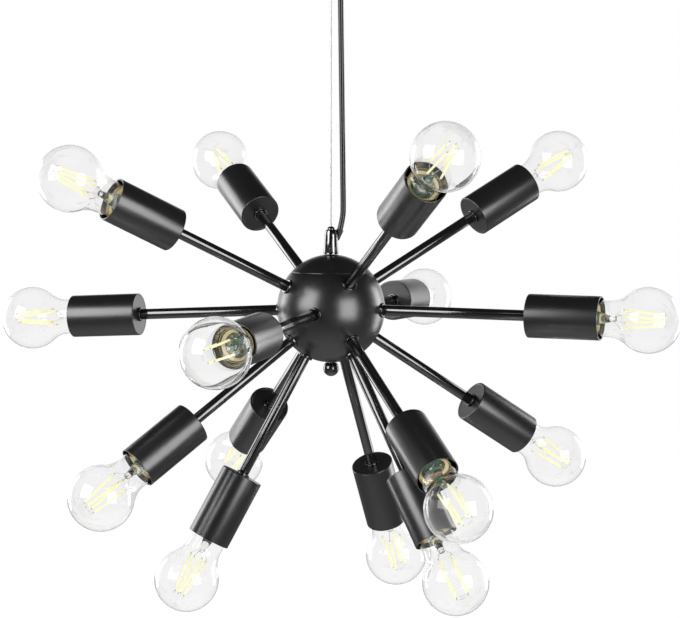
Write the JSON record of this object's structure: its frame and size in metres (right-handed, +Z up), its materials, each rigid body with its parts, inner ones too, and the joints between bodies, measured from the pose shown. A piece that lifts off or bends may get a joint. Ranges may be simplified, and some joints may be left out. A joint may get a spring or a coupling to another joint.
{
  "type": "sputnik chandelier",
  "caption": "Black ball on a steel wire under a ceiling canopy, with thin tubular arms all around it that each end in a cylindrical cup and a clear globe filament bulb.",
  "frame": {"origin": "centre of the bracket's two ceiling slots, on the ceiling plane, above the ball", "axes": "+Z up, out of the bracket's face into the ceiling; +X along the line of the two slots, to the picture's right; +Y away from the picture's viewer"},
  "size_m": [0.6331, 0.6282, 0.6193],
  "materials": {
    "satin_black": "satin black powder coat",
    "gloss_black": "glossy black lacquer",
    "black_chrome": "dark polished plating",
    "zinc_steel": "zinc-plated steel",
    "wire_steel": "stranded steel wire, light grey",
    "cord_jacket": "smooth black PVC",
    "black_plastic": "black nylon",
    "white_plastic": "white moulded plastic",
    "clear_glass": "clear blown glass"
  },
  "bodies": {
    "ceiling": {"ceiling_bracket": "zinc_steel", "ceiling_canopy": "satin_black", "canopy_screws": "satin_black", "wire_holder": "zinc_steel", "holder_lock_nuts": "zinc_steel", "terminal_block": "white_plastic", "canopy_cord_gland": "black_plastic"},
    "wire_end": {"wire_ball_end": "zinc_steel"},
    "wire": {"suspension_wire": "wire_steel"},
    "lamp": {"power_cord": "cord_jacket", "gripper_body": "black_chrome", "gripper_spring": "zinc_steel", "cord_strain_relief": "black_plastic", "hub_lid": "satin_black", "hub_shell": "satin_black", "hub_stem": "zinc_steel", "finial_ball": "gloss_black", "hub_collars": "gloss_black", "hub_nuts": "zinc_steel", "cup_collars": "gloss_black", "lamp_holders": "black_plastic", "arms_upper": "gloss_black", "arms_middle": "gloss_black", "arms_lower": "gloss_black", "arms_bottom": "gloss_black", "cup_upper_1": "satin_black", "cup_upper_2": "satin_black", "cup_upper_3": "satin_black", "cup_upper_4": "satin_black", "cup_middle_1": "satin_black", "cup_middle_2": "satin_black", "cup_middle_3": "satin_black", "cup_middle_4": "satin_black", "cup_lower_1": "satin_black", "cup_lower_2": "satin_black", "cup_lower_3": "satin_black", "cup_lower_4": "satin_black", "cup_bottom_1": "satin_black", "cup_bottom_2": "satin_black", "cup_bottom_3": "satin_black"},
    "plunger": {"gripper_plunger": "black_chrome", "gripper_balls": "zinc_steel"},
    "bulb_upper_1": {"bulb_upper_1": "clear_glass"},
    "bulb_upper_2": {"bulb_upper_2": "clear_glass"},
    "bulb_upper_3": {"bulb_upper_3": "clear_glass"},
    "bulb_upper_4": {"bulb_upper_4": "clear_glass"},
    "bulb_middle_1": {"bulb_middle_1": "clear_glass"},
    "bulb_middle_2": {"bulb_middle_2": "clear_glass"},
    "bulb_middle_3": {"bulb_middle_3": "clear_glass"},
    "bulb_middle_4": {"bulb_middle_4": "clear_glass"},
    "bulb_lower_1": {"bulb_lower_1": "clear_glass"},
    "bulb_lower_2": {"bulb_lower_2": "clear_glass"},
    "bulb_lower_3": {"bulb_lower_3": "clear_glass"},
    "bulb_lower_4": {"bulb_lower_4": "clear_glass"},
    "bulb_bottom_1": {"bulb_bottom_1": "clear_glass"},
    "bulb_bottom_2": {"bulb_bottom_2": "clear_glass"},
    "bulb_bottom_3": {"bulb_bottom_3": "clear_glass"}
  },
  "joints": [
    {"name": "swing_sideways", "type": "hinge", "parent": "wire_end", "child": "wire", "pos_m": [0, 0, -0.0317], "axis": [0, 1, 0], "range_deg": [-10, 10], "deforming": ["power_cord"]},
    {"name": "swing_forward", "type": "hinge", "parent": "ceiling", "child": "wire_end", "pos_m": [0, 0, -0.0317], "axis": [1, 0, 0], "range_deg": [-10, 10], "deforming": ["power_cord"]},
    {"name": "lamp_height", "type": "slide", "parent": "wire", "child": "lamp", "axis": [0, 0, 1], "range_m": [0, 0.025], "deforming": ["power_cord"]},
    {"name": "gripper_release", "type": "slide", "parent": "lamp", "child": "plunger", "axis": [0, 0, -1], "range_m": [0, 0.0018], "stiffness_N_per_m": 800, "springref_m": -0.001, "deforming": ["gripper_spring"]},
    {"name": "bulb_upper_1_out", "type": "slide", "parent": "lamp", "child": "bulb_upper_1", "axis": [0.7793, 0.3971, 0.4848], "range_m": [0, 0.04]},
    {"name": "bulb_upper_2_out", "type": "slide", "parent": "lamp", "child": "bulb_upper_2", "axis": [-0.4019, 0.772, 0.4924], "range_m": [0, 0.04]},
    {"name": "bulb_upper_3_out", "type": "slide", "parent": "lamp", "child": "bulb_upper_3", "axis": [-0.8002, -0.4255, 0.4226], "range_m": [0, 0.04]},
    {"name": "bulb_upper_4_out", "type": "slide", "parent": "lamp", "child": "bulb_upper_4", "axis": [0.3347, -0.808, 0.4848], "range_m": [0, 0.04]},
    {"name": "bulb_middle_1_out", "type": "slide", "parent": "lamp", "child": "bulb_middle_1", "axis": [0.3256, 0.9455, -0.0087], "range_m": [0, 0.04]},
    {"name": "bulb_middle_2_out", "type": "slide", "parent": "lamp", "child": "bulb_middle_2", "axis": [-0.965, 0.2586, -0.0436], "range_m": [0, 0.04]},
    {"name": "bulb_middle_3_out", "type": "slide", "parent": "lamp", "child": "bulb_middle_3", "axis": [-0.3083, -0.9487, -0.0698], "range_m": [0, 0.04]},
    {"name": "bulb_middle_4_out", "type": "slide", "parent": "lamp", "child": "bulb_middle_4", "axis": [0.9454, -0.3255, -0.0175], "range_m": [0, 0.04]},
    {"name": "bulb_lower_1_out", "type": "slide", "parent": "lamp", "child": "bulb_lower_1", "axis": [0.7747, 0.3449, -0.5299], "range_m": [0, 0.04]},
    {"name": "bulb_lower_2_out", "type": "slide", "parent": "lamp", "child": "bulb_lower_2", "axis": [-0.3546, 0.7271, -0.5878], "range_m": [0, 0.04]},
    {"name": "bulb_lower_3_out", "type": "slide", "parent": "lamp", "child": "bulb_lower_3", "axis": [-0.7199, -0.3909, -0.5736], "range_m": [0, 0.04]},
    {"name": "bulb_lower_4_out", "type": "slide", "parent": "lamp", "child": "bulb_lower_4", "axis": [0.3828, -0.7354, -0.5592], "range_m": [0, 0.04]},
    {"name": "bulb_bottom_1_out", "type": "slide", "parent": "lamp", "child": "bulb_bottom_1", "axis": [0.224, 0.4213, -0.8788], "range_m": [0, 0.04]},
    {"name": "bulb_bottom_2_out", "type": "slide", "parent": "lamp", "child": "bulb_bottom_2", "axis": [-0.4699, -0.0829, -0.8788], "range_m": [0, 0.04]},
    {"name": "bulb_bottom_3_out", "type": "slide", "parent": "lamp", "child": "bulb_bottom_3", "axis": [0.3903, -0.3903, -0.8339], "range_m": [0, 0.04]}
  ]
}
